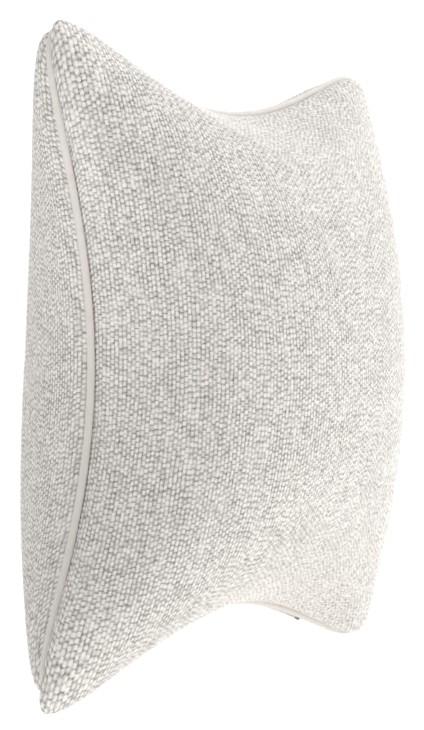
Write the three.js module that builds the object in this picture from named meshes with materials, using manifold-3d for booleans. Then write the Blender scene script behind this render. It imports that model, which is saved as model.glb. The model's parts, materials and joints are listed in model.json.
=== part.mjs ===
// A plump square scatter and lumbar cushion: a piped, zipped woven cover over a fibre-filled insert.
//
// The cushion stands on its lower corners. X runs across it, Z up it and Y through it: the front
// panel faces -Y and the back panel +Y. The origin is the bottom centre of its box. Millimetres.
//
// Every soft piece is spun on the same spokes. A spoke leaves the middle of the cushion for one
// point of its square edge, and a ring is a share of the way along every spoke. A piece is a closed
// profile of such points, so pieces built on the same rings nest inside each other like skins.
import * as THREE from "three";
import { mergeVertices } from "three/addons/utils/BufferGeometryUtils.js";
import Module from "manifold-3d";

// ---- The filled cushion's form
const CORNER_SPAN_X = 450; // seam to seam across, where the corners would be if they were sharp
const CORNER_SPAN_Z = 450; // the same, upright
const WAIST_X = 64.7; // how far each upright edge pulls in at mid height
const WAIST_Z = 54.8; // how far the top and bottom edges pull in at the middle
const WAIST_POWER = 1.51; // how closely the pull-in keeps to the middle of an edge
const WAIST_DROP = -0.035; // moves the waist and the crown up or down, as a share of half the height
const CROWN = 116.5; // middle plane to the top of the domed panel
const CROWN_POWER = 0.408; // under a half, so that the panel leaves its seam steeply
const EAR_THINNING = 0.633; // how much flatter the corners are than the dome alone would make them
const CORNER_POWER = 8.5; // how tightly a corner is rounded
const REST_DROP = 2.5; // how far the dome's top is pressed flat, where the cushion rests

// ---- Cloth, seams and piping
const COVER_CLOTH = 1.6; // the chunky woven face cloth
const SEAM_WIDTH = 10; // cloth turned in past the cover's seam
const PIPING_CLOTH = 0.6; // the plain strip that wraps the cord
const PIPING_RADIUS = 2.6; // outside of the wrapped cord
const FILLER_RADIUS = 1.6;
const INSERT_CLOTH = 0.5;
const INSERT_SEAM_WIDTH = 8;
const THREAD = 0.6;
const GAP = 0.3; // between two pieces that touch
const EASE = 0.7; // between the cover's lining side and the insert

// ---- The zip along the bottom edge, behind the piping
const ZIP_LENGTH = 280; // along the chord between the end stops
const ZIP_SET = 0.8574; // how far the tape lies inside the seam line where the two are nearest
const TAPE = 0.5;
const TAPE_TURN = 6; // how deep the tape's sewn edge turns in
const TAPE_END = 3; // tape that runs on past the stops
const COIL_RADIUS = 0.8;
const SLIDER_LENGTH = 9;
const SLIDER_WIDTH = 7.2;
const SLIDER_PLATE = 0.9;
const SLIDER_POST = 0.4; // the web that joins the slider's two plates
const LUG_LENGTH = 5;
const LUG_WIDTH = 1.2;
const LUG_HOLE_RADIUS = 1.05;
const TAB_LENGTH = 20;
const TAB_WIDTH = 5;
const TAB_THICKNESS = 1;
const STOP_LENGTH = 2.5;

// ---- The care label, folded and sewn into the back seam
const LABEL_LENGTH = 30;
const LABEL_DEPTH = 7;
const LABEL_PLY = 0.25;

// ---- How finely the soft pieces are divided
const SPOKES = 48;
const REST_RING = 0.15;
const RINGS = [REST_RING, 0.42, 0.66, 0.84, 0.95, 1];
const ARC_STEPS = 24;

const wasm = await Module();
wasm.setup();

const material = (color, roughness, metalness = 0) =>
  new THREE.MeshStandardMaterial({ color, roughness, metalness });
const WOVEN = material(0xded9d4, 0.95);
const PLAIN_WEAVE = material(0xcfc9c3, 0.85);
const COTTON = material(0xf2f0ec, 0.9);
const FIBRE = material(0xf7f6f3, 1);
const POLYESTER = material(0xd9d4cd, 0.7);
const NYLON = material(0xe4e0da, 0.4);
const ZINC = material(0xb9b7b2, 0.35, 1);
const SATIN_TAPE = material(0xf4f2ee, 0.5);

const cushion = new THREE.Group();

function add(name, geometry, look, parent = cushion) {
  const mesh = new THREE.Mesh(geometry, look);
  mesh.name = name;
  parent.add(mesh);
  return mesh;
}

// ---- Spokes and the cushion's form

// A spoke's end on the unit square. Spokes crowd towards the corners, where the form bends most.
function spokeEnd(spoke) {
  const perSide = SPOKES / 4;
  const side = Math.floor(spoke / perSide) % 4;
  const along = Math.sin((((spoke % perSide) * 2) / perSide - 1) * (Math.PI / 2));
  return [
    { u: along, v: -1 },
    { u: 1, v: along },
    { u: -along, v: 1 },
    { u: -1, v: -along },
  ][side];
}

// How high up the waist and crown sit: v itself, moved by the drop and still 1 at both edges.
const lowered = (v) => v + WAIST_DROP * (1 - v * v);

// A point of the middle plane on a spoke, in a form whose edge is set in by edge.
function plan(end, ring, edge) {
  const u = end.u * ring;
  const v = end.v * ring;
  const rounding = 1 - Math.abs(u * v) ** CORNER_POWER / (2 * CORNER_POWER + 1);
  const pullX = WAIST_X * (1 - lowered(v) ** 2) ** WAIST_POWER;
  const pullZ = WAIST_Z * (1 - u * u) ** WAIST_POWER;
  return {
    x: u * rounding * (CORNER_SPAN_X / 2 - edge - pullX),
    z: v * rounding * (CORNER_SPAN_Z / 2 - edge - pullZ),
  };
}

// The dome's height there: 1 at the crown and 0 at the seam.
function dome(end, ring) {
  const u = end.u * ring;
  const v = end.v * ring;
  const inside = Math.max(0, (1 - u * u) * (1 - lowered(v) ** 2));
  return inside ** CROWN_POWER * (1 - EAR_THINNING * (u * v) ** 2);
}

// A point on a domed skin. side is -1 at the front and 1 at the back, rise the skin's distance
// from the middle plane at its seam.
const skin = (side, ring, edge, crown, rise) => (end) => {
  const height = Math.max(rise(end), crown * dome(end, ring));
  return { ...plan(end, ring, edge), y: side * Math.min(height, crown - REST_DROP) };
};

// A point beside the edge: edge inside the seam line, y from the middle plane.
const beside = (side, edge, y) => (end) => ({ ...plan(end, 1, edge), y: side * y(end) });

// Stands the cushion on the lowest point of its piping.
const spokeEnds = Array.from({ length: SPOKES }, (_, spoke) => spokeEnd(spoke));
cushion.position.z = -Math.min(...spokeEnds.map((end) => plan(end, 1, -2 * PIPING_RADIUS).z));

// Spins a closed profile round the spokes. A profile that ends where it starts makes a loop.
function spun(profile) {
  const lathe = new THREE.LatheGeometry(
    profile.map((_, j) => new THREE.Vector2(1, j)),
    SPOKES,
  );
  const position = lathe.getAttribute("position");
  const reach = [];
  for (let spoke = 0; spoke <= SPOKES; spoke++) {
    const end = spokeEnds[spoke % SPOKES];
    profile.forEach((place, j) => {
      const p = place(end);
      position.setXYZ(spoke * profile.length + j, p.x, p.y, p.z);
      reach.push(Math.hypot(p.x, p.z));
    });
  }
  // A warped quad is cut the same way wherever it lies, so that a skin's two faces stay parallel:
  // where the profile runs inwards the cut goes across the other two corners.
  const index = lathe.index;
  for (let first = 0; first < index.count; first += 6) {
    const [a, b, d, c] = [0, 1, 2, 3].map((k) => index.getX(first + k));
    if (reach[d] < reach[a]) {
      [a, b, c, a, c, d].forEach((corner, k) => index.setX(first + k, corner));
    }
  }
  lathe.computeVertexNormals();
  return lathe;
}

// A front profile runs from its inner skin to its outer one, and a back profile the other way.
const facing = (side, profile) => (side < 0 ? profile : profile.reverse());

// ---- The zip's arc
// The bottom seam is very nearly an arc of a circle, so the zip is one: every piece of it turns
// about the same centre, below the cushion, and the slider runs round it.

const seamMiddle = plan({ u: 0, v: -1 }, 1, 0);
const seamEnd = plan({ u: ZIP_LENGTH / CORNER_SPAN_X, v: -1 }, 1, 0);
const arcRise = seamMiddle.z - seamEnd.z;
const arcRadius = (seamEnd.x ** 2 + arcRise ** 2) / (2 * arcRise);
const coilHalfAngle = Math.asin(ZIP_LENGTH / 2 / arcRadius);
const tapeHalfAngle = coilHalfAngle + (GAP + STOP_LENGTH + TAPE_END) / arcRadius;
const tapeEnd = (arcRadius + TAPE_TURN) * Math.sin(tapeHalfAngle);

// How far the seam strays inside the arc between the zip's middle and its ends.
const seamStray = Math.max(
  ...Array.from({ length: 401 }, (_, i) => plan({ u: i / 400, v: -1 }, 1, 0))
    .filter((point) => point.x <= tapeEnd)
    .map((point) => Math.hypot(point.x, point.z - seamMiddle.z + arcRadius) - arcRadius),
);

// ---- Panels

// One sewn panel: a domed outer skin, its seam allowance turned in beside the middle plane, and
// its inner skin, one cloth inside the outer one. It has a row of points at each depth in sewn,
// so that a thread there lies on it evenly.
function panel(side, { edge, crown, cloth, allowance, rise, sewn = [] }) {
  const inner = (end) => rise(end) + cloth;
  const fold = edge + cloth;
  const innerSkin = (ring) => skin(side, ring, fold, crown - cloth, inner);
  const outerSkin = (ring) => skin(side, ring, edge, crown, rise);
  return spun(
    facing(side, [
      innerSkin(0),
      ...RINGS.map(innerSkin),
      ...sewn.map((depth) => beside(side, depth, inner)),
      beside(side, edge + allowance, inner),
      beside(side, edge + allowance, rise),
      ...RINGS.map(outerSkin).reverse(),
      outerSkin(0),
    ]),
  );
}

const flangeHalf = GAP / 2 + PIPING_CLOTH; // outside of the piping's two plies
const seamRise = flangeHalf + GAP;
const coverEdge = 0.4; // clears the underside of the round piping
const rawEdge = coverEdge + SEAM_WIDTH + GAP; // just past the allowance
const zipMiddle = PIPING_RADIUS + 0.8 + SLIDER_WIDTH / 2; // from the middle plane to the coils
const tapeReach = SLIDER_WIDTH / 2 + 2.4; // from between the coils to the tape's bend
const zipRise = zipMiddle + tapeReach + GAP;

// The back panel stands off along the bottom edge, to let the zip in beside the piping: on every
// spoke out to the first one past the tape's end, even at the depth of the allowance.
function backRise(end) {
  const step = Math.PI / (SPOKES / 4);
  const before = { u: Math.sin(Math.asin(Math.abs(end.u)) - step), v: -1 };
  const past = plan(before, 1, rawEdge + COVER_CLOTH).x >= tapeEnd;
  return end.v === -1 && !past ? zipRise : seamRise;
}
const frontRise = () => seamRise;

const THREAD_LINE = 5; // stitches run this far inside the seam line
const coverPanel = {
  edge: coverEdge,
  crown: CROWN,
  cloth: COVER_CLOTH,
  allowance: SEAM_WIDTH,
  sewn: [THREAD_LINE, THREAD_LINE + THREAD],
};
add("cover_front_panel", panel(-1, { ...coverPanel, rise: frontRise }), WOVEN);
add("cover_back_panel", panel(1, { ...coverPanel, rise: backRise }), WOVEN);

// ---- Loops that follow the edge

// A loop with the section given, as corners [y, out] taken anticlockwise with y to the right.
const loop = (section) => spun([...section, section[0]].map(([y, out]) => beside(1, -out, () => y)));

// A thread or bound edge: a three-sided bead whose flat lies rise off the middle plane.
function bead(side, rise, inside, size) {
  const at = (high, depth) =>
    beside(side, inside + depth, (end) => rise(end) + high);
  const corners = [at(0, 0), at(size, size / 2), at(0, size)];
  const ring = side < 0 ? corners : corners.reverse();
  return spun([...ring, ring[0]]);
}

function circle(radius, sides, from, to) {
  return Array.from({ length: sides + 1 }, (_, i) => {
    const angle = from + ((to - from) * i) / sides;
    return [radius * Math.sin(angle), PIPING_RADIUS - radius * Math.cos(angle)];
  });
}

// The piping's strip: round the cord, then two plies side by side that are sewn into the seam.
function pipingStrip() {
  const bore = PIPING_RADIUS - PIPING_CLOTH;
  const outer = Math.asin(flangeHalf / PIPING_RADIUS);
  const inner = Math.asin(GAP / 2 / bore);
  return loop([
    [GAP / 2, -SEAM_WIDTH],
    [flangeHalf, -SEAM_WIDTH],
    ...circle(PIPING_RADIUS, 6, outer, 2 * Math.PI - outer),
    [-flangeHalf, -SEAM_WIDTH],
    [-GAP / 2, -SEAM_WIDTH],
    ...circle(bore, 5, 2 * Math.PI - inner, inner),
  ]);
}
add("piping_casing", pipingStrip(), PLAIN_WEAVE);
add(
  "piping_filler_cord",
  loop(circle(FILLER_RADIUS, 6, Math.PI / 6, (13 * Math.PI) / 6).slice(0, 6)),
  COTTON,
);

const lining = (rise) => (end) => rise(end) + COVER_CLOTH + GAP;
add("cover_needle_thread", bead(-1, lining(frontRise), THREAD_LINE, THREAD), POLYESTER);
add("cover_bobbin_thread", bead(1, lining(backRise), THREAD_LINE, THREAD), POLYESTER);

add("cover_front_overlock", bead(-1, frontRise, rawEdge, COVER_CLOTH / 2), POLYESTER);
add("cover_back_overlock", bead(1, backRise, rawEdge, COVER_CLOTH / 2), POLYESTER);

// ---- The insert

const insertEdge = rawEdge + COVER_CLOTH / 2 + 1.6;
const insertRise = () => GAP / 2;
const insertPanel = {
  edge: insertEdge,
  crown: CROWN - COVER_CLOTH - EASE,
  cloth: INSERT_CLOTH,
  allowance: INSERT_SEAM_WIDTH,
  rise: insertRise,
};
add("insert_front_shell", panel(-1, insertPanel), COTTON);
add("insert_back_shell", panel(1, insertPanel), COTTON);
add(
  "insert_seam_thread",
  bead(1, () => insertRise() + INSERT_CLOTH + GAP, insertEdge + 3, THREAD),
  POLYESTER,
);

function fibreFilling() {
  const edge = insertEdge + INSERT_SEAM_WIDTH + 1.5;
  const crown = insertPanel.crown - INSERT_CLOTH - 0.4;
  const half = () => 3;
  return spun([
    skin(1, 0, edge, crown, half),
    ...RINGS.map((ring) => skin(1, ring, edge, crown, half)),
    ...RINGS.map((ring) => skin(-1, ring, edge, crown, half)).reverse(),
    skin(-1, 0, edge, crown, half),
  ]);
}
add("insert_fill", fibreFilling(), FIBRE);

// ---- The zip

const zip = new THREE.Group();
zip.position.set(0, zipMiddle, seamMiddle.z - arcRadius);
cushion.add(zip);

class SeamArc extends THREE.Curve {
  constructor(from, to) {
    super();
    this.from = from;
    this.to = to;
  }
  getPoint(t, target = new THREE.Vector3()) {
    const angle = this.from + (this.to - this.from) * t;
    return target.set(arcRadius * Math.sin(angle), 0, arcRadius * Math.cos(angle));
  }
}

// Carries a section along the arc. Its corners are [y, out]: y from between the coils towards the
// back, out from the seam line away from the cushion. An extrusion draws a section with x to -Y.
function alongZip(section, from, to, steps) {
  const shape = new THREE.Shape(section.map(([y, out]) => new THREE.Vector2(-y, out)));
  return new THREE.ExtrudeGeometry(shape, { steps, extrudePath: new SeamArc(from, to) });
}

const rectangle = (y0, y1, out0, out1) => [
  [y0, out0],
  [y1, out0],
  [y1, out1],
  [y0, out1],
];

const tapeInner = -ZIP_SET - seamStray; // the tape's face towards the insert
const tapeOuter = tapeInner + TAPE;
const coilOut = tapeOuter + GAP + COIL_RADIUS;
const coilY = SLIDER_POST / 2 + GAP + COIL_RADIUS;

for (const [side, reach, name] of [
  [-1, zipMiddle - seamRise, "front"],
  [1, tapeReach, "back"],
]) {
  const mouth = SLIDER_POST / 2 + GAP;
  // The tape lies flat under its coil, then turns in beside the piping or the back panel's seam.
  const tape = [
    [side * mouth, tapeOuter],
    [side * mouth, tapeInner],
    [side * (reach - TAPE), tapeInner],
    [side * (reach - TAPE), -TAPE_TURN],
    [side * reach, -TAPE_TURN],
    [side * reach, tapeOuter],
  ];
  add(
    "zip_tape_" + name,
    alongZip(tape, -tapeHalfAngle, tapeHalfAngle, ARC_STEPS),
    POLYESTER,
    zip,
  );

  const coil = Array.from({ length: 6 }, (_, i) => [
    side * coilY + COIL_RADIUS * Math.cos((i * Math.PI) / 3),
    coilOut + COIL_RADIUS * Math.sin((i * Math.PI) / 3),
  ]);
  add("zip_coil_" + name, alongZip(coil, -coilHalfAngle, coilHalfAngle, ARC_STEPS), NYLON, zip);

  const stitchY = side * (reach - TAPE - GAP);
  const stitch = [
    [stitchY, -TAPE_TURN / 2],
    [stitchY - side * THREAD, -TAPE_TURN / 2 - THREAD / 2],
    [stitchY, -TAPE_TURN / 2 - THREAD],
  ];
  add(
    "zip_stitch_" + name,
    alongZip(stitch, -tapeHalfAngle, tapeHalfAngle, ARC_STEPS),
    POLYESTER,
    zip,
  );

  // A top stop is clamped to each tape's edge, just past the closed end of its coil.
  const stopStart = coilHalfAngle + GAP / arcRadius;
  const stopEnd = stopStart + STOP_LENGTH / arcRadius;
  const topStop = rectangle(
    Math.min(side * mouth, side * (coilY + COIL_RADIUS)),
    Math.max(side * mouth, side * (coilY + COIL_RADIUS)),
    tapeOuter + GAP,
    coilOut + COIL_RADIUS,
  );
  add("zip_top_stop_" + name, alongZip(topStop, stopStart, stopEnd, 1), ZINC, zip);
}

// One bottom stop joins both coils at the other end.
const bottomStop = rectangle(
  -coilY - COIL_RADIUS,
  coilY + COIL_RADIUS,
  tapeOuter + GAP,
  coilOut + COIL_RADIUS,
);
add(
  "zip_bottom_stop",
  alongZip(
    bottomStop,
    -coilHalfAngle - (GAP + STOP_LENGTH) / arcRadius,
    -coilHalfAngle - GAP / arcRadius,
    1,
  ),
  ZINC,
  zip,
);

// ---- The slider and its pull, made at the top of the arc and turned round to the closed end

function solidOf(geometry) {
  const bare = geometry.clone();
  bare.deleteAttribute("normal");
  bare.deleteAttribute("uv");
  const merged = mergeVertices(bare, 1e-4);
  return new wasm.Manifold(
    new wasm.Mesh({
      numProp: 3,
      vertProperties: merged.getAttribute("position").array,
      triVerts: new Uint32Array(merged.index.array),
    }),
  );
}

function geometryOf(solid) {
  const mesh = solid.getMesh();
  const geometry = new THREE.BufferGeometry();
  geometry.setAttribute("position", new THREE.BufferAttribute(mesh.vertProperties, 3));
  geometry.setIndex(new THREE.BufferAttribute(mesh.triVerts, 1));
  const flat = geometry.toNonIndexed();
  flat.computeVertexNormals();
  return flat;
}

// A block given by its x, its y and its distances out from the seam line, at the arc's top.
function block(x0, x1, y0, y1, out0, out1) {
  const box = new THREE.BoxGeometry(x1 - x0, y1 - y0, out1 - out0);
  box.translate((x0 + x1) / 2, (y0 + y1) / 2, arcRadius - (out0 + out1) / 2);
  return solidOf(box);
}

const plateIn = coilOut + COIL_RADIUS + GAP; // the outer plate's face towards the coils
const plateOut = plateIn + SLIDER_PLATE;
const pivotOut = plateOut + LUG_HOLE_RADIUS + GAP;
const lugOut = pivotOut + LUG_HOLE_RADIUS + 0.6;

function sliderBody() {
  const half = SLIDER_LENGTH / 2;
  const halfWidth = SLIDER_WIDTH / 2;
  const innerPlateOut = tapeInner - GAP;
  const lip = 0.7;
  let body = block(-half, half, -halfWidth, halfWidth, plateIn, plateOut);
  for (const side of [-1, 1]) {
    const y = [side * halfWidth, side * (halfWidth - lip)].sort((a, b) => a - b);
    body = body.add(block(-half, half, y[0], y[1], tapeOuter + GAP, plateOut));
  }
  body = body
    .add(
      block(-half, half, -halfWidth, halfWidth, innerPlateOut - SLIDER_PLATE, innerPlateOut),
    )
    .add(block(-half, half, -SLIDER_POST / 2, SLIDER_POST / 2, innerPlateOut, plateIn))
    .add(
      block(-LUG_LENGTH / 2, LUG_LENGTH / 2, -LUG_WIDTH / 2, LUG_WIDTH / 2, plateOut, lugOut),
    );
  const hole = new THREE.CylinderGeometry(LUG_HOLE_RADIUS, LUG_HOLE_RADIUS, LUG_WIDTH * 2, 12);
  hole.translate(0, 0, arcRadius - pivotOut);
  return geometryOf(body.subtract(solidOf(hole)));
}

// The pull: a flat tab with a window that the lug stands in and a bar that runs through the lug.
function pullTab() {
  const bar = 1;
  const half = TAB_WIDTH / 2;
  const windowHalf = LUG_WIDTH / 2 + GAP;
  const windowEnd = -Math.hypot(LUG_LENGTH / 2, lugOut - pivotOut) - GAP;
  const outline = new THREE.Shape();
  outline.moveTo(bar / 2, -half);
  outline.lineTo(bar / 2, half);
  outline.lineTo(-TAB_LENGTH + half, half);
  outline.absarc(-TAB_LENGTH + half, 0, half, Math.PI / 2, (3 * Math.PI) / 2);
  outline.closePath();
  const window = new THREE.Path();
  window.moveTo(-bar / 2, -windowHalf);
  window.lineTo(-bar / 2, windowHalf);
  window.lineTo(windowEnd, windowHalf);
  window.lineTo(windowEnd, -windowHalf);
  window.closePath();
  outline.holes.push(window);
  const tab = new THREE.ExtrudeGeometry(outline, {
    depth: TAB_THICKNESS,
    bevelEnabled: false,
    curveSegments: 6,
  });
  tab.translate(0, 0, arcRadius - pivotOut - TAB_THICKNESS / 2);
  return tab;
}

const closedAngle = coilHalfAngle - (SLIDER_LENGTH / 2 + GAP) / arcRadius;
const slider = new THREE.Group();
slider.rotation.y = closedAngle;
zip.add(slider);
add("zip_slider_body", sliderBody(), ZINC, slider);
add("zip_pull_tab", pullTab(), ZINC, slider);

// ---- The care label

function careLabel() {
  const y = seamRise + COVER_CLOTH + THREAD + 2 * GAP;
  const fold = new THREE.Shape(
    [
      [0, 0],
      [LABEL_DEPTH, 0],
      [LABEL_DEPTH, LABEL_PLY],
      [LABEL_PLY, LABEL_PLY],
      [LABEL_PLY, LABEL_PLY + GAP],
      [LABEL_DEPTH, LABEL_PLY + GAP],
      [LABEL_DEPTH, 2 * LABEL_PLY + GAP],
      [0, 2 * LABEL_PLY + GAP],
    ].map(([x, across]) => new THREE.Vector2(x, across)),
  );
  const label = new THREE.ExtrudeGeometry(fold, { depth: LABEL_LENGTH, bevelEnabled: false });
  const seamX = plan({ u: 1, v: 0 }, 1, 0).x;
  label.translate(seamX - coverEdge - COVER_CLOTH - 1 - LABEL_DEPTH, y, 0);
  return label;
}
add("care_label", careLabel(), SATIN_TAPE);

export default cushion;
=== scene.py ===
"""A plump square cushion with a piped edge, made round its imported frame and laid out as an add-on.

The cushion stands on its lower corners. X runs across it, Z up it and Y through it: the front panel
faces -Y and the back panel +Y. u and v run from -1 to 1 across and up each panel. Metres.
"""

import json
import math

import bpy
import numpy as np
from bpy.props import FloatProperty, FloatVectorProperty, IntProperty, PointerProperty
from mathutils import Matrix, Vector


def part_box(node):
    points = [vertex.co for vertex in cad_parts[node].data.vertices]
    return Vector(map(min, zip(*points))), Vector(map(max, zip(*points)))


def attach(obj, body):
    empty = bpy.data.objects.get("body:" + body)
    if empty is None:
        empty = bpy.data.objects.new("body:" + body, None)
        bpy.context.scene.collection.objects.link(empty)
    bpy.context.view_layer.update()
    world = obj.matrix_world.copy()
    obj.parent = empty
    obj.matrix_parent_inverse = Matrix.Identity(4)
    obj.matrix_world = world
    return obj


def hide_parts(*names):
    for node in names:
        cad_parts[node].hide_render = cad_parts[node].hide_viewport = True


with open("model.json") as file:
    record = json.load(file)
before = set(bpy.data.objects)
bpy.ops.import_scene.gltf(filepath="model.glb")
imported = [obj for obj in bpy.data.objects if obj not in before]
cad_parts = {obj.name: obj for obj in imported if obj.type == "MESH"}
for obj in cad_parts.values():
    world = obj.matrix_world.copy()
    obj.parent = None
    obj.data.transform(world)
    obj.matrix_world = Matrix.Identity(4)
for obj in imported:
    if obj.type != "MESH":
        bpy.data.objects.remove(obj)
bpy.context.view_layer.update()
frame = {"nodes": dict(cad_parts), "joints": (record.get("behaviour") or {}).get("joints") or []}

bl_info = {
    "name": "Piped cushion",
    "version": (1, 0, 0),
    "blender": (4, 5, 0),
    "location": "View3D > Sidebar > Cushion",
    "description": "Makes a square piped and zipped cushion, its insert and a plain studio",
    "category": "Add Mesh",
}

FRONT, BACK = -1, 1
SIDES = ((FRONT, "front"), (BACK, "back"))
PIPING_LOW, PIPING_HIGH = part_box("piping_casing")
CENTRE_Z = (PIPING_LOW.z + PIPING_HIGH.z) / 2  # the height of the middle of the cushion
JOINTS = {joint["name"]: joint for joint in frame["joints"]}
ZIP_CENTRE = np.array(JOINTS["zip_travel"]["pos_m"])  # the bottom seam is an arc about this point

SETTLING_FADE = 0.03  # from the seam to where the settling moves the cloth freely
OVERHANG_FADE = 0.012  # from an edge to where the bulge along the next one is whole
NUB_FADE = 0.0025  # from the seam to where the nubs are at their full height
SPARE = 3  # nubs drawn past an edge, because the lattice wanders
INSERT_CLOTH = 0.0005  # thickness of the insert's cotton
INSERT_SEAM = 0.008  # cloth turned in past the insert's seam
INSERT_CLEAR = 0.0022  # from the cover's lining to the insert
RUMPLE = 0.0011  # how far the filling bunches the insert's cloth
FILL_SET_IN = 0.0015  # from the insert's face to the filling's
SEAM_FOLD = 0.0006  # how far inside a panel's edge its turned-in face starts
SEAM_HALFWAY = 0.004  # a row of points halfway over the turned-in cloth
GATHER = 0.6  # how far the piping's strip is gathered in at the corners
SWELL = 0.012  # how uneven the piping's thickness is
CORD_PLIES = 3
CORD_TURN = 0.014  # length of one twist of the piping's cord
OVERLOCK_TURN = 0.0026  # from one loop of the overlocking to the next
OVERLOCK_THREAD = 0.00032  # its radius
ZIP_CLEAR = 0.009  # from the tape's end to where the back panel is closed again
ZIP_CLOSING = 0.008  # how much of that the closing takes
ZIP_HEIGHT = 0.18  # how far up v the stand-off for the zip fades out
CLOTH_SEEDS = (11, 23)  # of the front and back panels' random nubs
SWELLS = (31, 57, 93, 140, 211)  # waves of uneven thickness round the piping
TAPE_BEND = 0.0012  # radius of the tape's bend
TAPE_EDGE = 0.0004  # how far its corners are cut
ZIP_STITCH = 0.0028  # length of a stitch on the tape
STITCH_WAVE = 0.00012  # how far the stitches rise and dip
COIL_END = 0.0009  # from the seam line to the coil, where the coil's ends are measured
COIL_STEPS = 12  # points in each turn of a coil
COIL_WIRE = 0.0003  # radius of the wire that the zip's coils are wound from
BANDS = 12  # rows that a long tube's baked map is cut into
TINY = 1e-12
WHITE = (1, 1, 1, 1)


# ---- Sizes and colours that a user would change


def number(name, about, default, **more):
    """A number, or several of a kind where the default is a tuple."""
    more |= {"name": name, "description": about, "default": default, "precision": 5}
    if isinstance(default, tuple):
        return FloatVectorProperty(size=len(default), **more)
    return FloatProperty(**more)


def length(name, about, default):
    return number(name, about, default, unit="LENGTH")


def turn(name, about, degrees):
    return number(name, about, math.radians(degrees), subtype="ANGLE")


def count(name, about, default):
    return IntProperty(name=name, description=about, default=default, min=1)


def colour(name, about, default):
    """default is given in display values from 0 to 255, and kept as linear light."""
    seen = np.array(default) / 255
    linear = np.where(seen <= 0.04045, seen / 12.92, ((seen + 0.055) / 1.055) ** 2.4)
    return FloatVectorProperty(
        name=name, description=about, default=linear.tolist(), size=3, subtype="COLOR", min=0, max=1
    )


class CushionFormSizes(bpy.types.PropertyGroup):
    span: length("Corner span", "Seam to seam, where the corners would be if they were sharp", 0.450)
    waist_x: length("Side waists", "How far the left and right edges pull in", (0.0703, 0.0647))
    waist_z: length("End waists", "How far the bottom and top edges pull in", (0.0548, 0.0492))
    waist_power_x: number("Side waist power", "How closely its pull-in keeps to the middle", (1.38, 1.51))
    waist_power_z: number("End waist power", "The same for the bottom and top edges", 1.51)
    waist_drop: number("Waist drop", "How far below its middle each side's waist lies", (0.036, -0.035))
    crown_drop: number("Crown drop", "How far below the middle the crown lies", -0.035)
    crown: length("Crown", "Middle plane to the top of a domed panel", 0.1165)
    crown_power: number("Crown power", "How steeply the front and back leave the seam", (0.452, 0.382))
    low_fill: number("Low fill", "How much fuller the front and back are low down", (0.024, 0.155))
    front_ears: number("Front ears", "How much flatter the front's bottom and top ears are", (0.396, 0.46))
    back_ears: number("Back ears", "The same for the back panel", (0.5525, 0.2725))
    corner_power: number("Corner power", "How tightly a corner is rounded", 8.5)
    crown_shift: length("Crown shift", "How far the filling has moved to the front", 0.0035)
    wander: length("Seam wander", "Bow, S-bend and twist out of its plane", (-0.0044, 0.0026, 0.0024))
    overhang: length("Overhang", "How far the cloth bulges past the side and end seams", (0.002, 0.003))
    ear_overhang: length("Ear overhang", "The same at the left and right ears", (0.0185, 0.004))
    overhang_width: length("Overhang width", "From the seam to where it bulges most", 0.014)
    ear_top_left: length("Top left ear", "How far it is drawn out and up", (0.0, 0.0055))
    ear_bottom_left: length("Bottom left ear", "How far it is drawn out and down", (-0.006, -0.011))
    ear_top_right: length("Top right ear", "How far it is drawn out and up", (-0.0094, -0.0047))
    ear_bottom_right: length("Bottom right ear", "How far it is drawn out and down", (0.0004, -0.0012))


class CushionClothSizes(bpy.types.PropertyGroup):
    cut: length("Cut", "Side of the flat square that a panel is cut to, inside its seams", 0.457)
    thickness: length("Thickness", "Thickness of the cover cloth", 0.0016)
    seam_width: length("Seam width", "Cloth turned in past the seam", 0.010)
    columns: count("Columns", "Columns of nubs across a panel", 161)
    rows: count("Rows", "Rows of nubs up a panel", 126)
    steps: count("Steps", "Points across each nub", 4)
    relief: length("Relief", "How far a nub stands out", 0.0009)
    grid: count("Grid", "Points along each side of the simulated cloth", 97)
    frames: count("Frames", "How long the cloth settles", 22)
    pressure: number("Pressure", "How hard the filling pushes", 2.0)
    stiffness: number("Stiffness", "How little the cloth stretches", 40.0)
    bending: number("Bending", "How little the cloth bends", 0.5)
    underfill: number("Underfill", "The crown at the start of the settling, as a share", 0.985)
    most_moved: length("Most moved", "How far the settling may move a point", 0.006)


class CushionSeamSizes(bpy.types.PropertyGroup):
    piping: length("Piping", "Radius of the wrapped piping cord", 0.0026)
    wrap: length("Wrap", "Thickness of the strip that wraps the cord", 0.0006)
    cord: length("Cord", "Radius of the cord inside the piping", 0.0016)
    gap: length("Gap", "Between two pieces that touch", 0.0003)
    edge: length("Edge", "How far a panel's fold lies inside the seam line", 0.0004)
    thread: length("Thread", "Thickness of the sewing thread", 0.0006)
    stitch: length("Stitch", "Length of one stitch", 0.0032)
    line: length("Stitch line", "How far inside the seam line the stitches run", 0.005)


class CushionZipSizes(bpy.types.PropertyGroup):
    set_in: length("Set in", "How far the tape lies inside the seam line", 0.0015)
    tape: length("Tape", "Thickness of the tape", 0.0005)
    tape_turn: length("Tape turn", "How deep the tape's sewn edge turns in", 0.006)
    coil: length("Coil", "Radius of a coil", 0.0008)
    coil_pitch: length("Coil pitch", "From one turn of a coil to the next", 0.0014)


class CushionColours(bpy.types.PropertyGroup):
    cloth: colour("Cloth", "The woven cloth on top of its nubs", (249, 245, 240))
    # Painted shade: this dark colour stands for the shadow in the hollows between the nubs.
    shaded_pits: colour("Pits", "The woven cloth between its nubs", (84, 77, 71))
    piping: colour("Piping", "The plain strip round the piping cord", (231, 225, 219))
    cotton: colour("Cotton", "The insert's cotton and the piping cord", (243, 240, 235))
    fibre: colour("Fibre", "The filling", (248, 247, 244))
    thread: colour("Thread", "Sewing thread, overlocking and zip tape", (217, 212, 205))
    nylon: colour("Nylon", "The zip's coils", (228, 224, 218))
    zinc: colour("Zinc", "The slider, its pull and the stops", (190, 188, 184))
    label: colour("Label", "The satin of the care label", (244, 242, 238))


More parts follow.
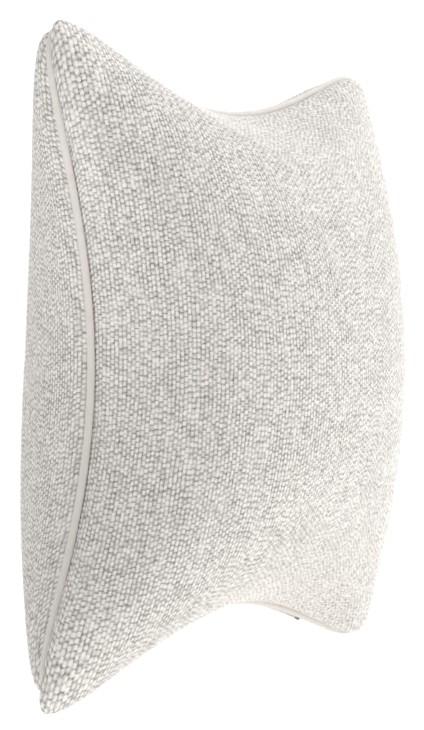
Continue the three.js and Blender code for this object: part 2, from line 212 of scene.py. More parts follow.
class CushionStudioSettings(bpy.types.PropertyGroup):
    azimuth: turn("Azimuth", "Which way the camera looks", -58.93)
    elevation: turn("Elevation", "How far above the horizon the camera is", 2.92)
    roll: turn("Roll", "How far the camera leans", 0.706)
    distance: length("Distance", "Camera to the point that it looks at", 1.7767)
    aim: length("Aim", "That point, right of and above the middle of the cushion", (-0.0046, -0.0004))
    lens: number("Lens", "Focal length over the height of the sensor", 3.3954)
    ambient: number("Ambient", "Strength of the light from all round", 0.46)
    key: number("Key", "Power of the big soft light at the front right, in watts", 64.0)
    fill: number("Fill", "Power of the soft light above, in watts", 29.0)
    floor_whiteness: number("Floor whiteness", "How far the floor is bleached for the camera", 0.8)
    floor_glow: number("Floor glow", "Light that the white floor gives off by itself", 0.5)


GROUPS = {
    "cushion_form": CushionFormSizes,
    "cushion_cloth": CushionClothSizes,
    "cushion_seams": CushionSeamSizes,
    "cushion_zip": CushionZipSizes,
    "cushion_colours": CushionColours,
    "cushion_studio": CushionStudioSettings,
}


def settings(name):
    return getattr(bpy.context.scene, "cushion_" + name)


def give(target, **choices):
    """Sets several of a thing's settings at once."""
    for key, choice in choices.items():
        setattr(target, key, choice)


# ---- The filled cushion's form


def blend(pair, share_of_second):
    """Goes from the pair's first value to its second one."""
    return pair[0] + (pair[1] - pair[0]) * share_of_second


def smooth_step(x):
    """Rises from 0 to 1 as x does, level at both ends."""
    x = np.clip(x, 0, 1)
    return x * x * (3 - 2 * x)


def rounding(u, v):
    """How far a point is drawn in so that the square's corners are round."""
    power = settings("form").corner_power
    return 1 - np.abs(u * v) ** power / (2 * power + 1)


def middle(u, v):
    """How far the seam and the surface between its sides lie out of the middle plane.

    The seam bows, bends like an S and twists along the sides, and the crown's middle shifts.
    """
    form = settings("form")
    bow, bend, twist = form.wander
    lean = (bow + bend * v) * (1 - v * v) * u + twist * u * v * np.abs(u) ** 3
    return lean - form.crown_shift * (1 - u * u) * (1 - v * v)


def pillow(u, v, side):
    """A point of a panel: x and z are u and v times half the span, less a pull-in that falls from
    the middle of each edge to nothing at its corners, and y is the crown times a power of
    (1 - u^2)(1 - v^2), flatter towards the corners and fuller towards the bottom.
    """
    form = settings("form")
    right, top = (1 + u) / 2, (1 + v) / 2
    arch = 1 - v * v
    low = v + blend(form.waist_drop, right) * arch
    pull_x = blend(form.waist_x, right) * np.clip(1 - low**2, 0, None) ** blend(form.waist_power_x, right)
    pull_z = blend(form.waist_z, top) * np.clip(1 - u * u, 0, None) ** form.waist_power_z
    x = u * rounding(u, v) * (form.span / 2 - pull_x)
    z = v * rounding(u, v) * (form.span / 2 - pull_z)
    for ear, across, up in (
        (form.ear_top_left, -1, 1),
        (form.ear_bottom_left, -1, -1),
        (form.ear_top_right, 1, 1),
        (form.ear_bottom_right, 1, -1),
    ):
        near = (np.clip((1 + across * u) / 2, 0, 1) * np.clip((1 + up * v) / 2, 0, 1)) ** 4
        x = x + across * near * ear[0]
        z = z + up * near * ear[1]
    which = 0 if side == FRONT else 1
    ears = blend(form.front_ears if side == FRONT else form.back_ears, top)
    low = v + form.crown_drop * arch
    dome = np.clip((1 - u * u) * (1 - low**2), 0, None) ** form.crown_power[which]
    dome = dome * (1 - ears * (u * v) ** 2) * (1 - form.low_fill[which] * v)
    return np.stack([x, middle(u, v) + side * form.crown * dome, z + CENTRE_Z], -1)


def even_parameters(n):
    """u and v on an n by n grid whose points lie evenly along the cloth both ways.

    In turn, each row and each column is spaced again by its own length, six times over.
    """
    even = np.linspace(-1, 1, n)
    start = np.sin(even * math.pi / 2)
    u, v = np.meshgrid(start, start, indexing="ij")
    for _ in range(6):
        for axis in (0, 1):
            points = pillow(u, v, FRONT)
            step = np.linalg.norm(np.diff(points, axis=axis), axis=-1)
            run = np.cumsum(step, axis=axis)
            run = np.concatenate([np.zeros_like(run.take([0], axis)), run], axis)
            run = run / run.take([-1], axis) * 2 - 1
            if axis == 0:
                u = np.stack([np.interp(even, run[:, j], u[:, j]) for j in range(n)], 1)
            else:
                v = np.stack([np.interp(even, run[i], v[i]) for i in range(n)], 0)
    return u, v


def spline_matrix(n, m):
    """Turns n evenly spaced values into m on the cubic B-spline through the first and last."""
    place = np.linspace(0, n - 1, m)
    first = np.minimum(place.astype(int), n - 2)
    f = place - first
    weights = [
        (1 - f) ** 3 / 6,
        (3 * f**3 - 6 * f**2 + 4) / 6,
        (-3 * f**3 + 3 * f**2 + 3 * f + 1) / 6,
        f**3 / 6,
    ]
    wide = np.zeros((m, n + 2))
    rows = np.arange(m)
    for k, weight in enumerate(weights):
        wide[rows, first + k] = weight
    matrix = wide[:, 1:-1].copy()
    matrix[:, 0] += 2 * wide[:, 0]
    matrix[:, 1] -= wide[:, 0]
    matrix[:, -1] += 2 * wide[:, -1]
    matrix[:, -2] -= wide[:, -1]
    return matrix


def finer(grid, rows, columns):
    """The same surface with more points, by cubic splines both ways."""
    across = spline_matrix(grid.shape[0], rows)
    up = spline_matrix(grid.shape[1], columns)
    return np.einsum("ai,ij...,bj->ab...", across, grid, up, optimize=True)


def corners(grid):
    """The four corners of each cell of a grid, in turn."""
    cells = [grid[:-1, :-1], grid[1:, :-1], grid[1:, 1:], grid[:-1, 1:]]
    return np.stack(cells, 2).reshape(-1, 4, *grid.shape[2:])


def facing(grid, side):
    """The unit normal at each point of a panel's grid, out of the cushion."""
    normal = np.cross(np.gradient(grid, axis=0), np.gradient(grid, axis=1)) * -side
    size = np.linalg.norm(normal, axis=-1, keepdims=True)
    return normal / np.maximum(size, TINY)


def to_edge(n, m):
    """How far each point of an n by m grid is from the nearest edge of the flat cut."""
    across = 1 - np.abs(np.linspace(-1, 1, n))[:, None]
    up = 1 - np.abs(np.linspace(-1, 1, m))[None, :]
    return np.minimum(across, up) * settings("cloth").cut / 2


def settled(front, back):
    """Both panels after the filling has pushed the cloth out, by a cloth simulation.

    The two grids share their rim. The cloth's rest shape is its flat square cut. The seam stays
    where it is: a point's move fades out towards it, and no point moves further than the limit.
    """
    cloth = settings("cloth")
    n = len(front)
    index = np.arange(n * n).reshape(n, n)
    behind = index.copy()
    behind[1:-1, 1:-1] = n * n + np.arange((n - 2) ** 2).reshape(n - 2, n - 2)
    start = np.concatenate([front.reshape(-1, 3), back[1:-1, 1:-1].reshape(-1, 3)])
    u, v = np.meshgrid(np.linspace(-1, 1, n), np.linspace(-1, 1, n), indexing="ij")
    flat = np.stack([u * rounding(u, v), 0 * u, v * rounding(u, v)], -1) * cloth.cut / 2
    cut = np.concatenate([flat.reshape(-1, 3), flat[1:-1, 1:-1].reshape(-1, 3)])
    cut[:, 2] += CENTRE_Z
    faces = np.concatenate([corners(index), corners(behind)[:, ::-1]])

    mesh = bpy.data.meshes.new("settling")
    mesh.from_pydata(start, [], faces.tolist())
    piece = bpy.data.objects.new("settling", mesh)
    scene = bpy.context.scene
    scene.collection.objects.link(piece)
    piece.shape_key_add(name="Basis")
    rest = piece.shape_key_add(name="Cut", from_mix=False)
    rest.data.foreach_set("co", cut.astype(np.float32).ravel())
    rest.value = 0
    modifier = piece.modifiers.new("Cloth", "CLOTH")
    give(
        modifier.settings,
        rest_shape_key=rest,
        quality=5,
        mass=0.3,
        tension_stiffness=cloth.stiffness,
        compression_stiffness=cloth.stiffness,
        shear_stiffness=cloth.stiffness / 3,
        bending_model="ANGULAR",
        bending_stiffness=cloth.bending,
        use_pressure=True,
        uniform_pressure_force=cloth.pressure,
    )
    modifier.settings.effector_weights.gravity = 0
    give(modifier.collision_settings, use_collision=False, use_self_collision=False)
    give(modifier.point_cache, frame_start=1, frame_end=cloth.frames)
    give(scene, frame_start=1, frame_end=cloth.frames)
    for number in range(1, cloth.frames + 1):
        scene.frame_set(number)
    shown = piece.evaluated_get(bpy.context.evaluated_depsgraph_get())
    after = np.zeros(start.size, np.float32)
    shown.data.vertices.foreach_get("co", after)
    move = after.reshape(-1, 3).astype(float) - start
    bpy.data.objects.remove(piece)
    bpy.data.meshes.remove(mesh)
    scene.frame_set(1)

    move_back = np.zeros_like(back)
    move_back[1:-1, 1:-1] = move[n * n :].reshape(n - 2, n - 2, 3)
    free = smooth_step(to_edge(n, n) / SETTLING_FADE)[..., None]
    result = []
    for grid, shift in ((front, move[: n * n].reshape(n, n, 3)), (back, move_back)):
        shift = shift * free
        size = np.linalg.norm(shift, axis=-1, keepdims=True)
        result.append(grid + shift * np.minimum(1, cloth.most_moved / np.maximum(size, TINY)))
    return result


def overhung(grid, side):
    """A panel's grid with its cloth bulging out past the seam beside it, most at the ears.

    A point moves out of each edge by d/w times e to the power (1 - d/w), d being its distance
    from that edge and w the width of the bulge. The move fades out at the other two edges.
    """
    form = settings("form")
    even = np.linspace(-1, 1, len(grid))
    from_edge = (1 - np.abs(even)) * settings("cloth").cut / 2
    rise = from_edge / form.overhang_width
    bulge = np.sign(even) * rise * np.exp(1 - rise)
    free = smooth_step(from_edge / OVERHANG_FADE)
    u, v = np.meshgrid(even, even, indexing="ij")
    ears = np.abs(u * v) ** 4 * blend(form.ear_overhang, (1 + u) / 2) * (1 - 0.25 * v)
    if side == BACK:
        ears = ears * 0.1
    moved = grid.copy()
    moved[..., 0] += (form.overhang[0] + ears) * bulge[:, None] * free[None, :]
    moved[..., 2] += (form.overhang[1] + ears) * bulge[None, :] * free[:, None]
    return moved


MADE = {}


def filled():
    """The parameters and the settled grids of both panels, made once."""
    if "form" not in MADE:
        raise RuntimeError("Fill the form first")
    return MADE["form"]


# ---- Lines and edges


def closed(row):
    """A row of points or numbers with its first one again at its end."""
    return np.concatenate([row, row[:1]])


def rim_of(grid):
    """The rim of a grid as one row: along the bottom, up the right, back along the top and down."""
    return np.concatenate([grid[:-1, 0], grid[-1, :-1], grid[:0:-1, -1], grid[0, :0:-1]])


def rim_places(n, m):
    """Where each point of a grid's rim lies, from 0 to 4: one for each side in turn."""
    return np.concatenate(
        [side + np.linspace(0, 1, k, endpoint=False) for side, k in enumerate((n - 1, m - 1, n - 1, m - 1))]
    )


def inset(points, u, v, depth):
    """Moves points towards the middle by depth at the seam, and by less further in."""
    moved = points.copy()
    moved[..., 0] -= depth * u * rounding(u, v)
    moved[..., 2] -= depth * v * rounding(u, v)
    return moved


def levelled(line, u, v):
    """A line of points brought to the middle plane."""
    line[:, 1] = middle(u, v)
    return line


def stand_off(points, u, v, side, rise):
    """Lifts a panel off the middle plane: y becomes the root of y^2 plus the rise squared."""
    seams = settings("seams")
    lifted = points.copy()
    if side == BACK:
        zip_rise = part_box("zip_tape_back")[1].y + seams.gap
        rise = rise + (zip_rise - seam_rise()) * zip_zone(points, v)
    centre = middle(u, v)
    lifted[..., 1] = centre + side * np.hypot(points[..., 1] - centre, rise)
    return lifted


def seam_rise():
    """From the middle plane to a panel's turned-in edge: the piping's two plies and two gaps."""
    seams = settings("seams")
    return seams.gap / 2 + seams.wrap + seams.gap


def zip_zone(points, v):
    """1 where the back panel stands off for the zip along the bottom edge, falling to 0."""
    past_tape = np.abs(points[..., 0]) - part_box("zip_tape_back")[1].x
    return smooth_step((ZIP_CLEAR - past_tape) / ZIP_CLOSING) * smooth_step((-0.80 - v) / ZIP_HEIGHT)


def even_loop(line, n):
    """A closed line as n evenly spaced points: the points, their directions out of the loop and
    along it, and its length.
    """
    step = np.linalg.norm(np.diff(closed(line), axis=0), axis=1)
    run = np.concatenate([[0], np.cumsum(step)])
    even = np.linspace(0, run[-1], n, endpoint=False)
    line = np.stack([np.interp(even, run, closed(line)[:, k]) for k in range(3)], 1)
    along = np.roll(line, -3, 0) - np.roll(line, 3, 0)
    along /= np.linalg.norm(along, axis=1, keepdims=True)
    out = np.stack([along[:, 2], 0 * even, -along[:, 0]], 1)
    out /= np.linalg.norm(out, axis=1, keepdims=True)
    return line, out, along, float(run[-1])


def seam_loop():
    """The seam line, evenly spaced: its points, its outward and forward directions, its length."""
    n = 2 * settings("cloth").grid - 1
    line, out, along, span = even_loop(rim_of(finer(filled()[FRONT], n, n)), 1600)
    return line, out, np.cross(out, along), span


def allowance_loop(side, depth, ply, n):
    """A loop round a panel's seam allowance, depth inside the seam line, on its face or, with a
    ply of cloth, on its lining side: points, outward and forward directions, length.
    """
    grids = filled()
    k = 2 * settings("cloth").grid - 1
    u, v = rim_of(finer(grids["uv"], k, k)).T
    line = levelled(inset(rim_of(finer(grids[side], k, k)), u, v, depth), u, v)
    line, out, _, span = even_loop(stand_off(line, u, v, side, seam_rise() + ply), n)
    return line, out, np.tile([0.0, 1.0, 0.0], (n, 1)), span


def zip_radius():
    """From the centre of the zip's arc to the seam line: the top of its stitching, less half of
    the tape's turned-in edge and half a thread.
    """
    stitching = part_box("zip_stitch_front")[1].z
    return stitching - settings("zip").tape_turn / 2 - settings("seams").thread / 2 - ZIP_CENTRE[2]


def zip_line(out, half, n):
    """Points along the zip's arc from minus to plus half, an angle about the arc's centre, and
    the arc's outward and forward directions there. out is their distance out from the seam line.
    """
    angle = np.linspace(-half, half, n)
    away = np.stack([np.sin(angle), 0 * angle, np.cos(angle)], 1)
    return ZIP_CENTRE + (zip_radius() - out) * away, -away, np.tile([0.0, 1.0, 0.0], (n, 1))


def set_back(node):
    """How far inside the seam line a node's edge lies, where the cushion is widest."""
    return PIPING_HIGH.x - 2 * settings("seams").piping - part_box(node)[1].x


# ---- Meshes


class Surface:
    """Gathers a piece's points, faces and maps, patch by patch, and makes its mesh."""

    def __init__(self):
        self.points = []
        self.faces = []
        self.maps = {}
        self.values = {}
        self.total = 0

    def place(self, points, **values):
        """Adds a grid of points, with named values on them, and returns their numbers."""
        flat = points.reshape(-1, 3)
        numbers = self.total + np.arange(len(flat)).reshape(points.shape[:-1])
        self.points.append(flat)
        self.total += len(flat)
        for name, value in values.items():
            self.values.setdefault(name, []).append((numbers.ravel(), np.ravel(value)))
        return numbers

    def patch(self, numbers, flip=False, **maps):
        """Adds a face for each cell of a grid of point numbers. A map has a place for each."""
        self.add_faces(corners(numbers), flip, **{k: corners(m) for k, m in maps.items()})

    def add_faces(self, faces, flip=False, **maps):
        turned = slice(None, None, -1 if flip else 1)
        self.faces.append(faces[:, turned])
        for name, places in maps.items():
            self.maps.setdefault(name, []).append(places[:, turned].reshape(-1, 2))

    def finish(self, name, material, smooth=True):
        points = np.concatenate(self.points)
        mesh = bpy.data.meshes.new(name)
        mesh.from_pydata(points, [], [face for block in self.faces for face in block.tolist()])
        for map_name, blocks in self.maps.items():
            layer = mesh.uv_layers.new(name=map_name)
            layer.uv.foreach_set("vector", np.concatenate(blocks).astype(np.float32).ravel())
        for value_name, blocks in self.values.items():
            full = np.zeros(len(points), np.float32)
            for numbers, value in blocks:
                full[numbers] = value
            mesh.attributes.new(value_name, "FLOAT", "POINT").data.foreach_set("value", full)
        if smooth:
            mesh.shade_smooth()
        mesh.materials.append(material)
        mesh.update()
        piece = bpy.data.objects.new(name, mesh)
        bpy.context.scene.collection.objects.link(piece)
        return piece


def atlas(width, height, x, y, n, m):
    """Places of an n by m grid in a rectangle of a map."""
    across, up = np.meshgrid(np.linspace(0, 1, n), np.linspace(0, 1, m), indexing="ij")
    return np.stack([x + across * width, y + up * height], -1)


def rim_strip(x, around):
    """Places in a map for points round a rim: an upright line at x."""
    return np.stack([x + 0 * around, 0.25 + 0.7 * around / 4], -1)


def sew_loops(surface, fine_loop, coarse_loop, flip, **maps):
    """Joins two loops with different numbers of points by triangles.

    Each point of the coarse loop takes the part of the fine loop that is nearer to it than to
    its neighbours, and the triangles on the coarse loop's edges stand where those parts meet.
    """
    (fine, fine_places), (coarse, coarse_places) = fine_loop, coarse_loop
    halfway = (coarse_places + np.append(coarse_places[1:], 4.0)) / 2
    at = np.searchsorted(fine_places, halfway)
    apex = np.searchsorted(at, np.arange(len(fine)), side="right") % len(coarse)
    after = (np.arange(len(fine)) + 1) % len(fine)
    following = (np.arange(len(coarse)) + 1) % len(coarse)

    def triangles(on_fine, on_coarse):
        based_on_fine = np.stack([on_fine[after], on_fine, on_coarse[apex]], 1)
        based_on_coarse = np.stack([on_fine[at % len(fine)], on_coarse, on_coarse[following]], 1)
        return np.concatenate([based_on_fine, based_on_coarse])

    surface.add_faces(triangles(fine, coarse), flip, **{k: triangles(*m) for k, m in maps.items()})


def carried(line, out, forward, section):
    """A section's points (a, b) at each point of a line: the line + a times out + b times forward."""
    return line[:, None] + section[..., :1] * out[:, None] + section[..., 1:] * forward[:, None]


def tube(name, material, rings, span, around, loop=True):
    """A closed tube through rings of points. Its map runs along it and round it, in metres."""
    surface = Surface()
    numbers = surface.place(rings)
    if loop:
        numbers = closed(numbers)
    numbers = np.concatenate([numbers, numbers[:, :1]], 1)
    along = np.linspace(0, span, len(numbers))[:, None]
    about = np.linspace(0, around, numbers.shape[1])[None, :]
    threads = np.stack(np.broadcast_arrays(along, about), -1)
    band = along / span * BANDS
    low = np.minimum(np.floor(band), BANDS - 1)
    bake = np.stack(np.broadcast_arrays(band - low, (low + 0.05 + 0.9 * about / around) / BANDS), -1)
    surface.patch(numbers, Threads=threads, OFBake=bake)
    for end, flip in () if loop else ((0, False), (-1, True)):
        ring = numbers[end, :-1]
        hub = surface.place(rings[end].mean(0)[None])
        fan = np.stack([ring, np.roll(ring, -1), np.full(len(ring), hub[0])], 1)
        flat = np.zeros((*fan.shape, 2))
        surface.add_faces(fan, flip, Threads=flat, OFBake=flat)
    return surface.finish(name, material)


def round_thread(name, material, line, out, forward, radius, span, sides=8, loop=True):
    """A round thread along a line."""
    angle = np.linspace(0, 2 * math.pi, sides, endpoint=False)
    section = radius * np.stack([np.cos(angle), np.sin(angle)], 1)
    return tube(name, material, carried(line, out, forward, section), span, 2 * math.pi * radius, loop)


def stitch_wave(n, span, stitch):
    """An angle that turns once in each stitch, at n points round a loop."""
    return np.linspace(0, 2 * math.pi * round(span / stitch), n, endpoint=False)


def finish_node(node, width, material):
    """Gives a CAD node a material and rounds its sharp edges."""
    piece = frame["nodes"][node]
    piece.modifiers.new("Weld", "WELD").merge_threshold = 0.00001
    bevel = piece.modifiers.new("Bevel", "BEVEL")
    give(bevel, width=width, segments=3, limit_method="ANGLE", angle_limit=math.radians(35))
    piece.data.materials.clear()
    piece.data.materials.append(material)


# ---- Materials


class Value:
    """A number or vector that a socket gives. Arithmetic on it adds Math nodes."""

    def __init__(self, nodes, socket):
        self.nodes = nodes
        self.socket = socket

    def _math(self, operation, *values):
        return self.nodes.add("Math", {"operation": operation}, dict(enumerate(values)))

    def __add__(self, other):
        return self._math("ADD", self, other)

    __radd__ = __add__

    def __sub__(self, other):
        return self._math("SUBTRACT", self, other)

    def __rsub__(self, other):
        return self._math("SUBTRACT", other, self)

    def __mul__(self, other):
        return self._math("MULTIPLY", self, other)

    __rmul__ = __mul__

    def __truediv__(self, other):
        return self._math("DIVIDE", self, other)

    def __pow__(self, other):
        return self._math("POWER", self, other)

    def __mod__(self, other):
        return self._math("FLOORED_MODULO", self, other)

    def sine(self):
        return self._math("SINE", self)

    def size(self):
        return self._math("ABSOLUTE", self)

    def floor(self):
        return self._math("FLOOR", self)

    def above(self, other):
        return self._math("MAXIMUM", self, other)

    def below(self, other):
        return self._math("MINIMUM", self, other)


class Nodes:
    """The node tree of a material or a world, with one method that adds any node."""

    def __init__(self, holder):
        self.holder = holder
        holder.use_nodes = True
        self.tree = holder.node_tree
        self.tree.nodes.clear()

    def add(self, kind, choices=None, inputs=None, output=0):
        """Adds a node: its settings first, then the values or links of its sockets."""
        node = self.tree.nodes.new("ShaderNode" + kind)
        give(node, **(choices or {}))
        for key, given in (inputs or {}).items():
            if isinstance(given, Value):
                self.tree.links.new(given.socket, node.inputs[key])
            else:
                node.inputs[key].default_value = given
        return Value(self, node.outputs[output]) if node.outputs else None

    def map(self, name):
        """The u and v of a map, as two numbers."""
        both = self.add("UVMap", {"uv_map": name})
        parts = self.add("SeparateXYZ", None, {0: both})
        return parts, Value(self, parts.socket.node.outputs[1])

    def object_place(self):
        """The object's own coordinates."""
        return self.add("TexCoord", None, None, "Object")

    def attribute(self, name):
        return self.add("Attribute", {"attribute_name": name}, None, "Fac")

    def vector(self, x=0.0, y=0.0, z=0.0):
        return self.add("CombineXYZ", None, {0: x, 1: y, 2: z})

    def noise(self, place, scale, detail=2.0):
        return self.add("TexNoise", None, {"Vector": place, "Scale": scale, "Detail": detail})

    def mix(self, factor, first, second, kind="MIX"):
        """Mixes two colours. A plain colour is three numbers."""
        tones = {
            6: first if isinstance(first, Value) else (*first, 1),
            7: second if isinstance(second, Value) else (*second, 1),
        }
        choices = {"data_type": "RGBA", "blend_type": kind, "clamp_factor": True}
        return self.add("Mix", choices, {0: factor, **tones}, 2)

    def shade(self, tone, light):
        """A colour times a number."""
        grey = self.add("CombineColor", None, {0: light, 1: light, 2: light})
        return self.mix(1.0, tone, grey, "MULTIPLY")

    def bump(self, height, distance, strength=0.7):
        return self.add("Bump", None, {"Height": height, "Distance": distance, "Strength": strength})

    def finish(self, tone, rough, normal, others=None):
        """Joins the shader's main inputs, and any others, and returns the material."""
        inputs = {"Base Color": tone, "Roughness": rough, "Normal": normal, **(others or {})}
        self.add("OutputMaterial", None, {"Surface": self.add("BsdfPrincipled", None, inputs)})
        return self.holder


def new_material(name):
    return Nodes(bpy.data.materials.new(name))


def woven_cloth_material(name, shift):
    """Nubby cloth: painted shade darkens the hollows between its nubs, each nub has its own tint, and
    twisted strands and loose fibres run over it. The weave map counts columns and rows of nubs.
    """
    colours = settings("colours")
    nodes = new_material(name)
    column, row = nodes.map("Weave")
    nub = nodes.attribute("nub")
    tint = nodes.attribute("tint")
    place = nodes.vector(column, row, shift)
    fibre = nodes.noise(place, 5.0, 3.0)
    strand = nodes.noise(nodes.vector(column * 6.0, row * 1.6, shift), 1.0)
    patch = nodes.noise(place, 0.045, 3.0)
    twist = ((column * 1.5 + row * 2.5) * (2 * math.pi)).sine()
    # Painted shade: the lower a point of a nub, the more of the dark hollow colour it takes, in uneven
    # patches.
    patchy_shade = nodes.noise(place, 1.1)
    depth = ((nub * 1.35 - 0.04) * (patchy_shade * 0.5 + 0.75)).above(0.0).below(1.0) ** 0.8
    light = tint * 0.08 + fibre * 0.3 + strand * 0.2 + patch * 0.05 + 0.685
    tone = nodes.shade(nodes.mix(depth, colours.shaded_pits, colours.cloth), light)
    bump = nodes.bump(strand * 0.6 + fibre * 0.6 + twist * 0.2, 0.0005)
    sheen = {"Sheen Weight": 0.15, "Sheen Roughness": 0.6, "Specular IOR Level": 0.2}
    return nodes.finish(tone, 0.96, bump, sheen)


def plain_weave_material(name, tone, pitch, slant=True):
    """Fine one-over-one cloth: warp and weft threads pass over each other in a chequer, painted lighter
    on top and darker in the dips as shade. On a bias strip they run at 45 degrees to it. The thread map is
    in metres.
    """
    nodes = new_material(name)
    along, around = nodes.map("Threads")
    first = (along + around) / pitch if slant else along / pitch
    second = (along - around) / pitch if slant else around / pitch
    warp = (first * math.pi).sine().size()
    weft = (second * math.pi).sine().size()
    over = (first.floor() + second.floor()) % 2.0
    height = over * warp**0.5 + (1.0 - over) * weft**0.5
    place = nodes.vector(along, around, 0.0)
    slub = nodes.noise(place, 90.0, 3.0)
    fibre = nodes.noise(place, 2500.0)
    # Painted shade: the colour is lighter where the threads rise and darker where they dip under each
    # other.
    tone = nodes.shade(tone, height * 0.16 + slub * 0.16 + fibre * 0.08 + 0.76)
    bump = nodes.bump(height + fibre * 0.3, pitch * 0.12)
    return nodes.finish(tone, 0.85, bump, {"Sheen Weight": 0.1, "Specular IOR Level": 0.3})


def thread_material(name, tone, pitch):
    """Twisted thread: slanting plies with a little unevenness, and painted shade in the grooves between the
    plies. The thread map is in metres.
    """
    nodes = new_material(name)
    along, around = nodes.map("Threads")
    ply = ((along + around) * (2 * math.pi / pitch)).sine() * 0.5 + 0.5
    fibre = nodes.noise(nodes.vector(along, around, 0.0), 1800.0)
    # Painted shade: the colour follows the plies, darker in the grooves between them.
    tone = nodes.shade(tone, ply * 0.2 + fibre * 0.1 + 0.75)
    return nodes.finish(tone, 0.7, nodes.bump(ply + fibre * 0.3, pitch * 0.2), {"Sheen Weight": 0.1})


def solid_material(name, tone, scale, rough, metal=0.0, grain=(1.0, 1.0, 1.0)):
    """A fine uneven finish on a small solid part, on the object's own coordinates. grain
    stretches it one way, as brushing, moulding or a satin weave does.
    """
    nodes = new_material(name)
    place = nodes.add("Mapping", None, {"Vector": nodes.object_place(), "Scale": grain})
    fine = nodes.noise(place, scale, 3.0)
    broad = nodes.noise(place, scale / 12)
    tone = nodes.shade(tone, fine * 0.14 + broad * 0.14 + 0.86)
    bump = nodes.bump(fine, 0.00003, 0.6)
    return nodes.finish(tone, broad * 0.2 + (rough - 0.1), bump, {"Metallic": metal})


def fibre_material():
    """Carded fibre: tangled fine strands, with painted shade a little darker in the hollows between them.
    """
    nodes = new_material("loose_fibre")
    place = nodes.object_place()
    bent = nodes.noise(place, 60.0)
    strands = nodes.noise(place, 900.0, 4.0)
    clump = nodes.noise(place, 90.0, 3.0)
    # Painted shade: the strand and clump noises that make the bump also darken the hollows.
    tone = nodes.shade(settings("colours").fibre, strands * 0.2 + clump * 0.2 + bent * 0.05 + 0.72)
    return nodes.finish(tone, 0.98, nodes.bump(strands + clump, 0.0012))


def white_world():
    """Bright white to the camera, and a dimmer even light on everything else."""
    nodes = Nodes(bpy.data.worlds.new("studio_white"))
    seen = nodes.add("Background", None, {"Color": WHITE, "Strength": 1.1})
    unseen = nodes.add("Background", None, {"Color": WHITE, "Strength": settings("studio").ambient})
    ray = nodes.add("LightPath", None, None, "Is Camera Ray")
    both = nodes.add("MixShader", None, {0: ray, 1: unseen, 2: seen})
    nodes.add("OutputWorld", None, {"Surface": both})
    return nodes.holder


def white_floor():
    """A large square that is lit as a matt white floor and bleached for the camera."""
    studio = settings("studio")
    nodes = new_material("floor_white")
    tone = nodes.mix(nodes.noise(nodes.object_place(), 40.0), (0.86, 0.86, 0.86), (0.9, 0.9, 0.9))
    inputs = {"Base Color": tone, "Roughness": 0.9, "Specular IOR Level": 0.0}
    inputs |= {"Emission Color": WHITE, "Emission Strength": studio.floor_glow}
    lit = nodes.add("BsdfPrincipled", None, inputs)
    white = nodes.add("Emission", None, {"Color": WHITE, "Strength": 1.05})
    seen = nodes.add("LightPath", None, None, "Is Camera Ray")
    surface = nodes.add("MixShader", None, {0: seen * studio.floor_whiteness, 1: lit, 2: white})
    nodes.add("OutputMaterial", None, {"Surface": surface})
    mesh = bpy.data.meshes.new("floor")
    far = 40.0
    mesh.from_pydata([(-far, -far, 0), (far, -far, 0), (far, far, 0), (-far, far, 0)], [], [(0, 1, 2, 3)])
    mesh.materials.append(nodes.holder)
    return bpy.data.objects.new("floor", mesh)


# ---- Pieces


def spread(rng, rows, columns, coarse):
    """Smooth random values between about -1 and 1 on a grid."""
    return finer(rng.uniform(-1, 1, (coarse, coarse)), rows, columns)


def nubs(n, m, seed):
    """Columns of rounded nubs, each column half a nub lower or higher than the next.

    a and b run from -1 to 1 across and up each nub, and it stands as high as a power of
    (1 - a^2) times one of (1 - 0.9 b^2). Between columns saddles of sin^2(pi b) part the pits. The
    lattice wanders a little, each column is shifted up or down by its own stagger, and each nub
    has its own height and tint. Its lean and slip move its top aside and up by a share of
    (1 - a^2) and (1 - b^2).
    """
    cloth = settings("cloth")
    rng = np.random.default_rng(seed)
    even_u = np.linspace(-1, 1, n)[:, None]
    even_v = np.linspace(-1, 1, m)[None, :]
    draw = rounding(even_u, even_v)
    column = (even_u * draw + 1) / 2 * cloth.columns + 0.3 * spread(rng, n, m, 34)
    row = (even_v * draw + 1) / 2 * cloth.rows + 0.45 * spread(rng, n, m, 40)
    which = np.floor(column).astype(int)
    a = 2 * (column - which) - 1
    across = which + SPARE
    stagger = rng.uniform(-0.22, 0.22, cloth.columns + 8)[across]
    dropped = row + 0.5 * (which % 2) + stagger
    step = np.floor(dropped).astype(int)
    b = 2 * (dropped - step) - 1
    lift, tint, lean, slip = rng.uniform(0, 1, (4, cloth.columns + 8, cloth.rows + 8))
    at = (across, step + SPARE)
    a = a + (lean[at] - 0.5) * 0.9 * (1 - a * a)
    b = b + (slip[at] - 0.5) * 0.9 * (1 - b * b)
    body = (1 - a * a) ** 0.6
    saddle = 0.36 * np.sin(math.pi * b) ** 2
    height = body * (1 - 0.9 * b * b) ** 0.6 * (0.7 + 0.36 * lift[at]) + (1 - body) * saddle
    height = np.clip(height + 0.1 * rng.uniform(-1, 1, height.shape), 0, None)
    return height, tint[at], np.stack([column, row], -1)


